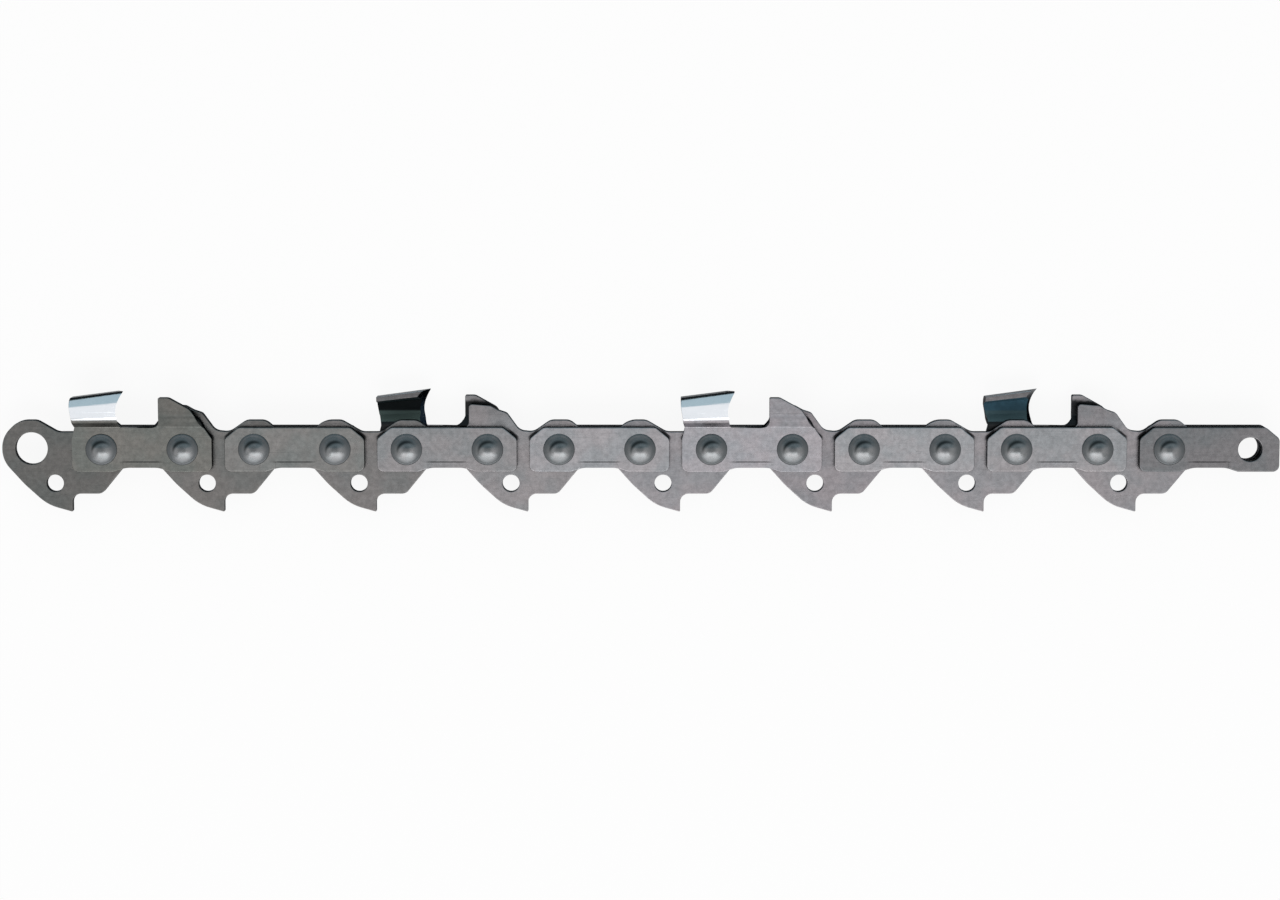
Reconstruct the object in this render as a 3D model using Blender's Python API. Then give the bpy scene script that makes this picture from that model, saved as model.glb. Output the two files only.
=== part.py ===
"""Low-profile saw chain: a straight length of eight drive links, open at both ends.

The chain lies on its left side, as it does on a bench. +X is the way it travels, +Y is the
side of the teeth, away from the guide bar, and +Z is the right side of the chain. The ground
is z = 0. Drive links in the middle plane alternate with pairs of side plates. Every second
pair has a cutter on one side, right hand and left hand in turn, and a tie strap on the other.
Rivets with a wide hub join them, and the drive links turn on the hubs.
"""

import math

import bmesh
import bpy
from mathutils import Matrix, Vector

MM = 0.001

# Layout of the chain
DRIVE_LINKS = 8
DRIVE_SPAN = 8.74 * MM  # between the two bores of a drive link
PLATE_SPAN = 9.90 * MM  # between the two rivets of a side plate
RIGHT_CUTTERS = (1, 5)  # pairs of side plates, counted from the rear end
LEFT_CUTTERS = (3, 7)
ROOT_PAIR = 4

# Sheet
DRIVE_THICK = 1.10 * MM
PLATE_THICK = 1.15 * MM
SIDE_PLAY = 0.06 * MM  # between a drive link and the plate beside it

# Rivets
BORE_DIA = 3.95 * MM  # in the drive links
HUB_PLAY = 0.05 * MM  # radial, where a drive link turns
PLATE_HOLE_DIA = 2.95 * MM
SHANK_GAP = 0.03 * MM  # radial, where the rivet fills the plate
SEAT_GAP = 0.02 * MM  # between a rivet's shoulders and the plate
HEAD_DIA = 3.85 * MM
HEAD_HEIGHT = 0.65 * MM
HEAD_LAND = 0.62  # where the dome starts to bend over, as a share of the head's radius
HEAD_LAND_RISE = 0.80  # how high it is there, as a share of the head's height

# Side plates, from a rivet at the origin
PLATE_END = 3.60 * MM  # from the rivet to the end of the plate
PLATE_TOP = 2.70 * MM
SHOULDER_RUN = 1.70 * MM  # the bevelled top corner, along the plate
SHOULDER_DROP = 1.40 * MM
FOOT_DEPTH = 2.75 * MM  # the feet that ride on the bar's rails
FOOT_INNER = 1.05 * MM  # how far a foot reaches past its rivet
WAIST_DEPTH = 2.26 * MM
WAIST_RUN = 1.35 * MM  # from the foot up to the waist
CORNER_RADIUS = 0.80 * MM
LEDGE_TOP = 1.50 * MM  # the coined step along the waist, below the rivets' line
LEDGE_MARGIN = 0.10 * MM  # from where the waist runs level to the end of the step
LEDGE_DEPTH = 0.14 * MM

# Drive links, with heights from the rivets' line and lengths from the nearer bore
EAR = 3.60 * MM  # from a bore to the end of the link
EAR_TOP = 3.48 * MM
EAR_RADIUS = 2.00 * MM
CREST_RADIUS = 1.50 * MM
CREST_AHEAD = 1.35 * MM  # the level top of the front ear
CREST_BEHIND = 1.05 * MM
FRONT_SHOULDER = 1.60 * MM
REAR_CREST_AHEAD = 0.75 * MM  # the level top of a plain link's rear ear
REAR_CREST_BEHIND = 2.10 * MM
REAR_SHOULDER = 1.00 * MM
SADDLE = 2.03 * MM  # the dip between the ears
SADDLE_RADIUS = 1.60 * MM
SADDLE_FROM_FRONT = 3.15 * MM
SADDLE_FROM_REAR = 3.25 * MM
TANG_DEPTH = 7.84 * MM
TANG_BACK_START = 1.20 * MM  # where the tang's back leaves the rear ear, below the rivet
TANG_BELLY_BEHIND = 0.95 * MM  # where the back swells a little on its way down
TANG_BELLY_DEPTH = 4.42 * MM
TANG_BELLY_RADIUS = 9.00 * MM
TANG_BACK_X = 1.85 * MM  # where it curves towards the tip
TANG_BACK_RISE = 0.86 * MM
TANG_BACK_RADIUS = 5.50 * MM
TANG_TIP_X = 4.92 * MM
TANG_TIP_RADIUS = 0.12 * MM
TANG_HEEL_DEPTH = 5.60 * MM
TANG_HEEL_BEHIND = 0.18 * MM
TANG_HEEL_RADIUS = 1.05 * MM
TANG_FRONT_START = 1.00 * MM  # where the tang's front leaves the front ear
TANG_HOLE_DIA = 2.10 * MM
TANG_HOLE_X = 2.82 * MM
TANG_HOLE_DEPTH = 4.30 * MM
BUMPER_REAR = 2.15 * MM
BUMPER_TOP = 5.46 * MM
BUMPER_REAR_RADIUS = 0.40 * MM
BUMPER_NECK = 3.05 * MM
BUMPER_SHOULDER = 1.25 * MM
# The bumper's slope, corner by corner: along the link, below the bumper's top, radius
BUMPER_SLOPE = (
    (3.90 * MM, 3.25 * MM, 1.40 * MM),
    (2.35 * MM, 1.10 * MM, 0.70 * MM),
    (1.30 * MM, 0.75 * MM, 0.60 * MM),
    (0.35 * MM, 0.22 * MM, 0.80 * MM),
)

# Cutters
KERF = 5.90 * MM  # over a left and a right tooth
TOOTH_TOP = 7.14 * MM  # at the cutting edge
TIP_X = 2.62 * MM
HEEL_X = 3.75 * MM
HEEL_UPRIGHT = 1.40 * MM  # below this the heel leans forward to its foot
HEEL_FOOT_X = 3.25 * MM
HEEL_FOOT = 2.70 * MM
TOP_PLATE_WIDTH = 3.10 * MM
TOP_PLATE_THINNING = 0.45 * MM  # how much thinner its inner edge is than the sheet
TOP_RELIEF = math.radians(7.5)
SIDE_RELIEF = math.radians(2.5)
SIDE_LEAN = math.radians(4)
JOG_START = 2.85 * MM
JOG_SLOPE = math.radians(50)
CORNER_BEND = 0.75 * MM  # radius at the middle of the sheet
CORNER_FACETS = 4
FOLD_FACET = 0.30 * MM
GULLET = 2.70 * MM
GULLET_RADIUS = 1.20 * MM
GAUGE_SETTING = 0.76 * MM  # how far the depth gauge stands below the cutting edge
GAUGE_REAR = 7.12 * MM
GAUGE_TOP_LENGTH = 1.40 * MM
GAUGE_OFFSET = 0.50 * MM
GAUGE_SLOPE = math.radians(22)
GAUGE_REAR_RADIUS = 0.20 * MM
GAUGE_FRONT_RADIUS = 0.60 * MM
GAUGE_TOE_BACK = 2.60 * MM  # its slope ends this far from the end of the plate
GAUGE_TOE_HEIGHT = 4.95 * MM
GRIND_ANGLE = math.radians(20)
GRIND_ALLOWANCE = 0.80 * MM  # steel ground off the front of the tooth
HOLLOW_DIA = 6.20 * MM  # the round hollow ground into the front of the tooth
HOLLOW_HEIGHT = 4.75 * MM
HOLLOW_X = 1.98 * MM  # its deepest point, on the tooth's outer face
HOLLOW_UNDERCUT = 0.02 * MM  # how far the grinding runs into the gullet's floor
HOLLOW_RUN = 2.10 * MM  # how far ahead of the hollow's foot it stays that low

# Facets
ARC_STEP = math.radians(24)
HOLLOW_STEPS = 12
BORE_SIDES = 16
RIVET_SIDES = 14
SMOOTH_UNDER = math.radians(32)

# Worked out from the above
CHAIN_SPAN = DRIVE_LINKS * (DRIVE_SPAN + PLATE_SPAN)
PLATE_INNER = DRIVE_THICK / 2 + SIDE_PLAY
PLATE_MIDDLE = PLATE_INNER + PLATE_THICK / 2
PLATE_OUTER = PLATE_INNER + PLATE_THICK
GAUGE_TOP = TOOTH_TOP - GAUGE_SETTING
HALF_HEIGHT = KERF / 2
PITCH_LINE = (TANG_DEPTH - TOOTH_TOP) / 2
CUT_ROOM = 3 * MM  # how far a cutting tool runs past what it cuts


def steel(name, colour, roughness):
    """A plain steel with the colour of its finish."""
    material = bpy.data.materials.new(name)
    material.use_nodes = True
    shader = material.node_tree.nodes["Principled BSDF"]
    shader.inputs["Base Color"].default_value = (*colour, 1)
    shader.inputs["Metallic"].default_value = 1
    shader.inputs["Roughness"].default_value = roughness
    return material


def rounded(corners):
    """The outline through corners of (x, y, radius), with each corner rounded to its radius."""
    outline = []
    for i, (x, y, radius) in enumerate(corners):
        here = Vector((x, y))
        back = Vector(corners[i - 1][:2]) - here
        ahead = Vector(corners[(i + 1) % len(corners)][:2]) - here
        half = back.angle(ahead) / 2
        room = 0.49 * min(back.length, ahead.length)
        radius = min(radius, room * math.tan(half))
        if radius <= 0:
            outline.append(here)
            continue
        back.normalize()
        ahead.normalize()
        centre = here + (back + ahead).normalized() * radius / math.sin(half)
        first = here + back * radius / math.tan(half) - centre
        turn = math.copysign(math.pi - 2 * half, back.cross(ahead) * -1)
        steps = max(1, math.ceil(abs(turn) / ARC_STEP))
        for step in range(steps + 1):
            outline.append(centre + Matrix.Rotation(turn * step / steps, 2) @ first)
    return outline


def new_object(name, mesh):
    made = bpy.data.objects.new(name, mesh)
    bpy.context.scene.collection.objects.link(made)
    return made


def slab(name, outline, low, high):
    """A flat plate with this outline, from low to high in Z."""
    bm = bmesh.new()
    face = bm.faces.new([bm.verts.new((point[0], point[1], low)) for point in outline])
    raised = bmesh.ops.extrude_face_region(bm, geom=[face])["geom"]
    upper = [v for v in raised if isinstance(v, bmesh.types.BMVert)]
    bmesh.ops.translate(bm, verts=upper, vec=(0, 0, high - low))
    bmesh.ops.recalc_face_normals(bm, faces=bm.faces)
    mesh = bpy.data.meshes.new(name)
    bm.to_mesh(mesh)
    bm.free()
    return new_object(name, mesh)


def punch(x, y, diameter):
    """A tool for a round hole, whose flats touch the hole's true diameter."""
    radius = diameter / 2 / math.cos(math.pi / BORE_SIDES)
    angles = [2 * math.pi * (i + 0.5) / BORE_SIDES for i in range(BORE_SIDES)]
    ring = [(x + radius * math.cos(a), y + radius * math.sin(a)) for a in angles]
    return slab("punch", ring, -CUT_ROOM, CUT_ROOM)


def cut(blank, tools):
    """Cuts the tools out of the blank and leaves the result as the blank's own mesh."""
    for tool in tools:
        tool.hide_render = True
        tool.display_type = "WIRE"
        boolean = blank.modifiers.new(tool.name, "BOOLEAN")
        boolean.operation = "DIFFERENCE"
        boolean.solver = "EXACT"
        boolean.object = tool
    seen = bpy.context.evaluated_depsgraph_get()
    blank.data = bpy.data.meshes.new_from_object(blank.evaluated_get(seen))
    blank.modifiers.clear()
    for tool in tools:
        bpy.data.objects.remove(tool)
    return blank


def finished(blank, material):
    """The blank's mesh, shaded and with its material, ready for as many pieces as it takes."""
    mesh = blank.data
    bpy.data.objects.remove(blank)
    mesh.materials.clear()
    mesh.materials.append(material)
    mesh.shade_smooth()
    mesh.set_sharp_from_angle(angle=SMOOTH_UNDER)
    return mesh


def drive_link(name, bumper, material):
    """A drive link: two ears with bores, and the tang with its hole below them."""
    front = DRIVE_SPAN
    tang = [
        (-EAR, -TANG_BACK_START, EAR_RADIUS),
        (-TANG_BELLY_BEHIND, -TANG_BELLY_DEPTH, TANG_BELLY_RADIUS),
        (TANG_BACK_X, TANG_BACK_RISE - TANG_DEPTH, TANG_BACK_RADIUS),
        (TANG_TIP_X, -TANG_DEPTH, TANG_TIP_RADIUS),
        (TANG_TIP_X, -TANG_HEEL_DEPTH, TANG_HEEL_RADIUS),
        (front - TANG_HEEL_BEHIND, -TANG_HEEL_DEPTH, TANG_HEEL_RADIUS),
        (front + EAR, -TANG_FRONT_START, EAR_RADIUS),
    ]
    front_ear = [
        (front + EAR, FRONT_SHOULDER, EAR_RADIUS),
        (front + CREST_AHEAD, EAR_TOP, CREST_RADIUS),
        (front - CREST_BEHIND, EAR_TOP, CREST_RADIUS),
        (front - SADDLE_FROM_FRONT, SADDLE, SADDLE_RADIUS),
    ]
    if bumper:
        rear = [(x, BUMPER_TOP - below, radius) for x, below, radius in BUMPER_SLOPE]
        rear += [
            (-BUMPER_REAR, BUMPER_TOP, BUMPER_REAR_RADIUS),
            (-BUMPER_REAR, BUMPER_NECK, BUMPER_REAR_RADIUS),
            (-EAR, BUMPER_SHOULDER, CREST_RADIUS),
        ]
    else:
        rear = [
            (SADDLE_FROM_REAR, SADDLE, SADDLE_RADIUS),
            (REAR_CREST_AHEAD, EAR_TOP, CREST_RADIUS),
            (-REAR_CREST_BEHIND, EAR_TOP, EAR_RADIUS),
            (-EAR, REAR_SHOULDER, EAR_RADIUS),
        ]
    blank = slab(name, rounded(tang + front_ear + rear), -DRIVE_THICK / 2, DRIVE_THICK / 2)
    holes = [
        punch(0, 0, BORE_DIA),
        punch(front, 0, BORE_DIA),
        punch(TANG_HOLE_X, -TANG_HOLE_DEPTH, TANG_HOLE_DIA),
    ]
    return finished(cut(blank, holes), material)


def feet():
    """The lower edge of a side plate, from its rear end to its front end."""
    front = PLATE_SPAN
    inner = FOOT_INNER + WAIST_RUN
    return [
        (-PLATE_END, -FOOT_DEPTH, CORNER_RADIUS),
        (FOOT_INNER, -FOOT_DEPTH, CORNER_RADIUS),
        (inner, -WAIST_DEPTH, CORNER_RADIUS),
        (front - inner, -WAIST_DEPTH, CORNER_RADIUS),
        (front - FOOT_INNER, -FOOT_DEPTH, CORNER_RADIUS),
        (front + PLATE_END, -FOOT_DEPTH, CORNER_RADIUS),
    ]


def pierced(blank):
    """Punches a side plate's two rivet holes and coins the step along its waist."""
    slope = math.atan2(FOOT_DEPTH - WAIST_DEPTH, WAIST_RUN)
    level = FOOT_INNER + WAIST_RUN + CORNER_RADIUS * math.tan(slope / 2)
    rear = level + LEDGE_MARGIN
    front = PLATE_SPAN - rear
    below = -FOOT_DEPTH - CUT_ROOM
    ledge = [(rear, below), (front, below), (front, -LEDGE_TOP), (rear, -LEDGE_TOP)]
    outer = PLATE_THICK / 2
    tools = [
        punch(0, 0, PLATE_HOLE_DIA),
        punch(PLATE_SPAN, 0, PLATE_HOLE_DIA),
        slab("coin", ledge, outer - LEDGE_DEPTH, outer + CUT_ROOM),
    ]
    return cut(blank, tools)


def tie_strap(name, material):
    """A tie strap: a plain side plate with bevelled shoulders. Its outer face is at +Z."""
    front = PLATE_SPAN + PLATE_END
    shoulders = [
        (front, PLATE_TOP - SHOULDER_DROP, CORNER_RADIUS),
        (front - SHOULDER_RUN, PLATE_TOP, CORNER_RADIUS),
        (SHOULDER_RUN - PLATE_END, PLATE_TOP, CORNER_RADIUS),
        (-PLATE_END, PLATE_TOP - SHOULDER_DROP, CORNER_RADIUS),
    ]
    blank = slab(name, rounded(feet() + shoulders), -PLATE_THICK / 2, PLATE_THICK / 2)
    return finished(pierced(blank), material)


def fold_stations(start, segments):
    """The middle of a folded sheet as stations (length, y, z, leaning of the fold's normal, reach).

    Segments are (length, slope), with the slope measured from upright, outwards. At a
    station between two segments the normal halves the bend, and reach is how much longer
    it is there than the sheet is thick.
    """
    y, z, length, slope = start, 0.0, start, 0.0
    stations = []
    for run, next_slope in segments:
        bend = (next_slope - slope) / 2
        stations.append((length, y, z, slope + bend, 1 / math.cos(bend)))
        y += run * math.cos(next_slope)
        z += run * math.sin(next_slope)
        length += run
        slope = next_slope
    stations.append((length, y, z, slope, 1.0))
    return stations


def tooth_stations():
    """The fold of a tooth: out past the rivet heads, up, and over into the top plate."""
    outward = KERF / 2 - PLATE_OUTER
    top_middle = TOOTH_TOP - PLATE_THICK / 2
    bend = (math.pi / 2 + SIDE_LEAN) / CORNER_FACETS
    facet = 2 * CORNER_BEND * math.tan(bend / 2)
    ease_in = JOG_SLOPE / 2
    ease_out = (JOG_SLOPE + SIDE_LEAN) / 2
    corner = [(facet, SIDE_LEAN - bend * (i + 1)) for i in range(CORNER_FACETS - 1)]
    corner_rise = sum(run * math.cos(slope) for run, slope in corner)

    # the jog and the wall share what is left of the way out and up
    eased_out = FOLD_FACET * (math.sin(ease_in) + math.sin(ease_out))
    eased_up = FOLD_FACET * (math.cos(ease_in) + math.cos(ease_out))
    left_out = outward - eased_out
    left_up = top_middle - JOG_START - eased_up - corner_rise
    share = math.sin(JOG_SLOPE - SIDE_LEAN)
    jog = (left_out * math.cos(SIDE_LEAN) - left_up * math.sin(SIDE_LEAN)) / share
    wall = (left_up * math.sin(JOG_SLOPE) - left_out * math.cos(JOG_SLOPE)) / share
    over = TOP_PLATE_WIDTH - PLATE_THICK / 2 - CORNER_BEND
    segments = [(FOLD_FACET, ease_in), (jog, JOG_SLOPE), (FOLD_FACET, ease_out)]
    segments += [(wall, SIDE_LEAN), *corner, (over, -math.pi / 2)]
    return fold_stations(JOG_START, segments)


def gauge_stations():
    """The fold of a depth gauge: a short step outwards, then straight up."""
    step = GAUGE_OFFSET / math.sin(GAUGE_SLOPE)
    rest = GAUGE_TOP - JOG_START - step * math.cos(GAUGE_SLOPE)
    return fold_stations(JOG_START, [(step, GAUGE_SLOPE), (rest, 0.0)])


def length_at(stations, height):
    """How far up the flat sheet the point lies that the fold brings to this height."""
    for low, high in zip(stations, stations[1:]):
        if low[1] <= height <= high[1]:
            return low[0] + (high[0] - low[0]) * (height - low[1]) / (high[1] - low[1])
    return height


def folded(stations, length, outer, thinning):
    """Where the fold brings a point of the outer or inner face of the flat sheet."""
    if length <= stations[0][0]:
        return length, PLATE_THICK / 2 if outer else -PLATE_THICK / 2
    last = len(stations) - 1
    upper = next((i for i in range(1, last) if length <= stations[i][0]), last)
    ends = []
    for i in (upper - 1, upper):
        at, y, z, lean, reach = stations[i]
        thinner = thinning * max(0, i - last + 1)
        depth = reach * (PLATE_THICK / 2 if outer else thinner - PLATE_THICK / 2)
        ends.append(Vector((y - depth * math.sin(lean), z + depth * math.cos(lean))))
    first, second = stations[upper - 1][0], stations[upper][0]
    y, z = ends[0].lerp(ends[1], (length - first) / (second - first))
    return y, z


def fold_cutter(blank):
    """Folds the flat blank's tooth and depth gauge, and gives the tooth its relief."""
    tooth = tooth_stations()
    gauge = gauge_stations()
    bm = bmesh.new()
    bm.from_mesh(blank.data)
    for stations in (tooth, gauge):
        for station in stations[:-1]:
            everything = [*bm.verts, *bm.edges, *bm.faces]
            level = (0, station[0], 0)
            bmesh.ops.bisect_plane(bm, geom=everything, plane_co=level, plane_no=(0, 1, 0))
    gullet_middle = (TIP_X + GAUGE_REAR) / 2
    for vertex in bm.verts:
        x, length, depth = vertex.co
        if x > gullet_middle:
            vertex.co.y, vertex.co.z = folded(gauge, length, depth > 0, 0.0)
            continue
        y, z = folded(tooth, length, depth > 0, TOP_PLATE_THINNING)
        height = min(1.0, max(0.0, (y - JOG_START) / (TOOTH_TOP - JOG_START)))
        vertex.co.y = y - height * (TIP_X - x) * math.tan(TOP_RELIEF)
        vertex.co.z = z - height * (TIP_X - x) * math.tan(SIDE_RELIEF)
    bmesh.ops.triangulate(bm, faces=bm.faces)
    bm.to_mesh(blank.data)
    bm.free()
    return blank


def grinding_wheel():
    """The tool that grinds the hollow front of the tooth, held at the top plate's angle.

    It is round from its top down to the gullet's floor, and there it runs straight ahead.
    """
    radius = HOLLOW_DIA / 2
    floor = GULLET - HOLLOW_UNDERCUT - HOLLOW_HEIGHT
    start = math.pi / 2
    swing = math.pi / 2 + math.asin(-floor / radius)
    angles = [start + swing * i / HOLLOW_STEPS for i in range(HOLLOW_STEPS + 1)]
    hollow = [(radius * math.cos(a), radius * math.sin(a)) for a in angles]
    low_end = hollow[-1][0] + HOLLOW_RUN
    profile = hollow + [(low_end, floor), (0, GULLET_RADIUS - HOLLOW_HEIGHT + GULLET)]
    wheel = slab("grinding wheel", profile, -KERF, KERF)
    centre_x = HOLLOW_X + radius / math.cos(GRIND_ANGLE)
    centre = Vector((centre_x, HOLLOW_HEIGHT, KERF / 2 - PLATE_MIDDLE))
    wheel.matrix_world = Matrix.Translation(centre) @ Matrix.Rotation(GRIND_ANGLE, 4, "Y")
    return wheel


def cutter(name, material):
    """A right-hand cutter: side plate, tooth with its top plate, gullet and depth gauge."""
    front = PLATE_SPAN + PLATE_END
    tooth = tooth_stations()
    gauge = gauge_stations()
    gauge_top = gauge[-1][0]
    top_plate_end = tooth[-1][0]
    top_plate_start = tooth[-2][0]
    tooth_front = TIP_X + GRIND_ALLOWANCE
    set_back = (top_plate_end - top_plate_start) * math.tan(GRIND_ANGLE)
    upper = [
        (front, PLATE_TOP - SHOULDER_DROP, CORNER_RADIUS),
        (front - GAUGE_TOE_BACK, length_at(gauge, GAUGE_TOE_HEIGHT), GAUGE_FRONT_RADIUS),
        (GAUGE_REAR + GAUGE_TOP_LENGTH, gauge_top, GAUGE_FRONT_RADIUS),
        (GAUGE_REAR, gauge_top, GAUGE_REAR_RADIUS),
        (GAUGE_REAR, GULLET, GULLET_RADIUS),
        (tooth_front, GULLET, 0.0),
        (tooth_front, top_plate_start, 0.0),
        (tooth_front - set_back, top_plate_end, 0.0),
        (-HEEL_X, top_plate_end, 0.0),
        (-HEEL_X, length_at(tooth, TOOTH_TOP - HEEL_UPRIGHT), 0.0),
        (-HEEL_FOOT_X, HEEL_FOOT, 0.0),
        (-PLATE_END, PLATE_TOP - SHOULDER_DROP, CORNER_RADIUS),
    ]
    blank = slab(name, rounded(feet() + upper), -PLATE_THICK / 2, PLATE_THICK / 2)
    shaped = fold_cutter(pierced(blank))
    return finished(cut(shaped, [grinding_wheel()]), material)


def mirrored(mesh, name):
    """The same piece for the other side of the chain."""
    bm = bmesh.new()
    bm.from_mesh(mesh)
    bmesh.ops.scale(bm, vec=(1, 1, -1), verts=bm.verts)
    bmesh.ops.reverse_faces(bm, faces=bm.faces)
    other = mesh.copy()
    other.name = name
    bm.to_mesh(other)
    bm.free()
    return other


def rivet(name, material):
    """A rivet: a hub for the drive links between two shanks, each headed over to a dome."""
    shank = PLATE_HOLE_DIA / 2 - SHANK_GAP
    hub = BORE_DIA / 2 - HUB_PLAY
    hub_end = PLATE_INNER - SEAT_GAP
    seat = PLATE_OUTER + SEAT_GAP
    head = HEAD_DIA / 2
    upper = [
        (hub, hub_end),
        (shank, hub_end),
        (shank, seat),
        (head, seat),
        (head * HEAD_LAND, seat + HEAD_HEIGHT * HEAD_LAND_RISE),
        (0, seat + HEAD_HEIGHT),
    ]
    lower = [(radius, -z) for radius, z in reversed(upper)]
    bm = bmesh.new()
    profile = [bm.verts.new((radius, 0, z)) for radius, z in lower + upper]
    edges = [bm.edges.new(pair) for pair in zip(profile, profile[1:])]
    bmesh.ops.spin(
        bm,
        geom=profile + edges,
        cent=(0, 0, 0),
        axis=(0, 0, 1),
        angle=2 * math.pi,
        steps=RIVET_SIDES,
    )
    bmesh.ops.remove_doubles(bm, verts=bm.verts, dist=0.001 * MM)
    bmesh.ops.recalc_face_normals(bm, faces=bm.faces)
    mesh = bpy.data.meshes.new(name)
    bm.to_mesh(mesh)
    bm.free()
    return finished(new_object(name, mesh), material)


for old in list(bpy.data.objects):
    bpy.data.objects.remove(old)

link_steel = steel("drive link steel", (0.22, 0.22, 0.21), 0.38)
strap_steel = steel("tie strap steel", (0.24, 0.24, 0.24), 0.36)
cutter_steel = steel("chromed cutter", (0.55, 0.57, 0.59), 0.22)
rivet_steel = steel("rivet steel", (0.32, 0.32, 0.33), 0.28)

plain_link = drive_link("drive_link", False, link_steel)
bumper_link = drive_link("bumper_drive_link", True, link_steel)
right_strap = tie_strap("right_tie_strap", strap_steel)
left_strap = mirrored(right_strap, "left_tie_strap")
right_cutter = cutter("right_cutter", cutter_steel)
left_cutter = mirrored(right_cutter, "left_cutter")
rivet_mesh = rivet("rivet", rivet_steel)

# The rivet line: hinge 0 and the last one are the open ends of the length.
hinge_x = [-CHAIN_SPAN / 2]
for number in range(DRIVE_LINKS):
    hinge_x.append(hinge_x[-1] + DRIVE_SPAN)
    hinge_x.append(hinge_x[-1] + PLATE_SPAN)


def hinge_point(number):
    return Vector((hinge_x[number], PITCH_LINE, HALF_HEIGHT))


# Link 0 is the rear drive link, link 1 the first pair of plates, and so on. Each turns about
# the rivet that joins it to its neighbour on the side of the root pair.
root = 2 * ROOT_PAIR - 1
turning_hinge = {
    link: link + 1 if link < root else link for link in range(2 * DRIVE_LINKS)
}
pivots = {}
for link in sorted(turning_hinge, key=lambda number: abs(number - root)):
    pair = link // 2 + 1
    body = f"plates_{pair}" if link % 2 else f"drive_{pair}"
    pivot = new_object(f"{body}_pivot", None)
    pivot.empty_display_size = 2 * MM
    pivot.location = hinge_point(turning_hinge[link])
    if link != root:
        inner = link + 1 if link < root else link - 1
        pivot.parent = pivots[inner]
        pivot.location -= hinge_point(turning_hinge[inner])
    pivots[link] = pivot


def place(name, mesh, link, hinge, side=0.0):
    """Puts a piece on its link, with its rear bore on a hinge and its middle off to one side."""
    piece = new_object(name, mesh)
    piece.parent = pivots[link]
    offset = hinge_point(hinge) - hinge_point(turning_hinge[link])
    piece.location = offset + Vector((0, 0, side))
    return piece


for pair in range(1, DRIVE_LINKS + 1):
    drive = 2 * pair - 2
    plates = 2 * pair - 1
    place(f"drive_link_{pair}", plain_link if pair % 2 else bumper_link, drive, drive)
    if pair in RIGHT_CUTTERS:
        place(f"right_cutter_{pair}", right_cutter, plates, plates, PLATE_MIDDLE)
    else:
        place(f"right_tie_strap_{pair}", right_strap, plates, plates, PLATE_MIDDLE)
    if pair in LEFT_CUTTERS:
        place(f"left_cutter_{pair}", left_cutter, plates, plates, -PLATE_MIDDLE)
    else:
        place(f"left_tie_strap_{pair}", left_strap, plates, plates, -PLATE_MIDDLE)
    place(f"rivet_{2 * pair - 1}", rivet_mesh, plates, plates)
    if pair < DRIVE_LINKS:
        place(f"rivet_{2 * pair}", rivet_mesh, plates, plates + 1)

bpy.context.view_layer.update()
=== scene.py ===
import math

import bmesh
import bpy
from mathutils import Matrix, Vector


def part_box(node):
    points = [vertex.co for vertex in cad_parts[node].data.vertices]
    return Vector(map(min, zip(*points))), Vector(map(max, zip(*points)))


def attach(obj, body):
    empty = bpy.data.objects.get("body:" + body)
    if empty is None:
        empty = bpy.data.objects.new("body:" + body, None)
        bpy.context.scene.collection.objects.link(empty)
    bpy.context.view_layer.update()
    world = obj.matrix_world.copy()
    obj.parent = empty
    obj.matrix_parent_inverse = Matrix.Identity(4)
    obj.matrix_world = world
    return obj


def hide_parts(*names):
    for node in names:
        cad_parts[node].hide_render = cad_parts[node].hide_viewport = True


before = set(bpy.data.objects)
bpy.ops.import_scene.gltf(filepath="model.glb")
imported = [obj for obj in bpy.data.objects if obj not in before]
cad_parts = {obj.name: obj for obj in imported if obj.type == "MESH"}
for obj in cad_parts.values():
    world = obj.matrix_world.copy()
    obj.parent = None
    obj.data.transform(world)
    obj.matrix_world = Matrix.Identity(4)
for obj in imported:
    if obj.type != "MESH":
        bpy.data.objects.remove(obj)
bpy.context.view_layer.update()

# The camera looks straight down on the chain, which lies on its left side, from 0.4 m away and
# a little from the teeth side. Its width takes in the whole length, as in the photograph.
MM = 0.001
VIEW_DISTANCE = 406 * MM
VIEW_WIDTH = 157.06 * MM
VIEW_TILT = math.radians(6.6)
middle = Vector((0, 0.09 * MM, 2.95 * MM))
camera = bpy.data.objects.new("camera", bpy.data.cameras.new("camera"))
camera.location = middle + VIEW_DISTANCE * Vector((0, math.sin(VIEW_TILT), math.cos(VIEW_TILT)))
camera.rotation_euler = (-VIEW_TILT, 0, 0)
camera.data.sensor_width = 36
camera.data.lens = 36 * VIEW_DISTANCE / VIEW_WIDTH
camera.data.clip_start = 5 * MM
bpy.context.scene.collection.objects.link(camera)
bpy.context.scene.camera = camera

# Drive links: blanked from 1.1 mm spring steel, hardened and tumbled to a dull grey. They run
# in the bar's groove, and each turns on the hubs of the rivets at its two ends. Every second
# one carries a bumper that rises behind the depth gauge of the cutter before it.
DRIVE_SPAN = 8.74
DRIVE_THICK = 1.10
EAR = 3.60
EAR_TOP = 3.48
EAR_RADIUS = 2.00
REAR_EAR_RADIUS = 3.40
CREST_AHEAD = 1.35
CREST_BEHIND = 1.05
CREST_RADIUS = 1.50
REAR_CREST_AHEAD = 0.75
REAR_CREST_BEHIND = 1.47
SADDLE = 2.03
SADDLE_RADIUS = 1.60
SADDLE_FROM_FRONT = 3.15
SADDLE_FROM_REAR = 3.25
TANG_DEPTH = 7.84
TANG_TIP = 4.92
TANG_HEEL = 5.60
TANG_HEEL_RADIUS = 1.05
TANG_BELLY_RADIUS = 9.00
TANG_BACK_RADIUS = 5.50
BUMPER_TOP = 5.46
BUMPER_REAR = 2.32
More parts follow.
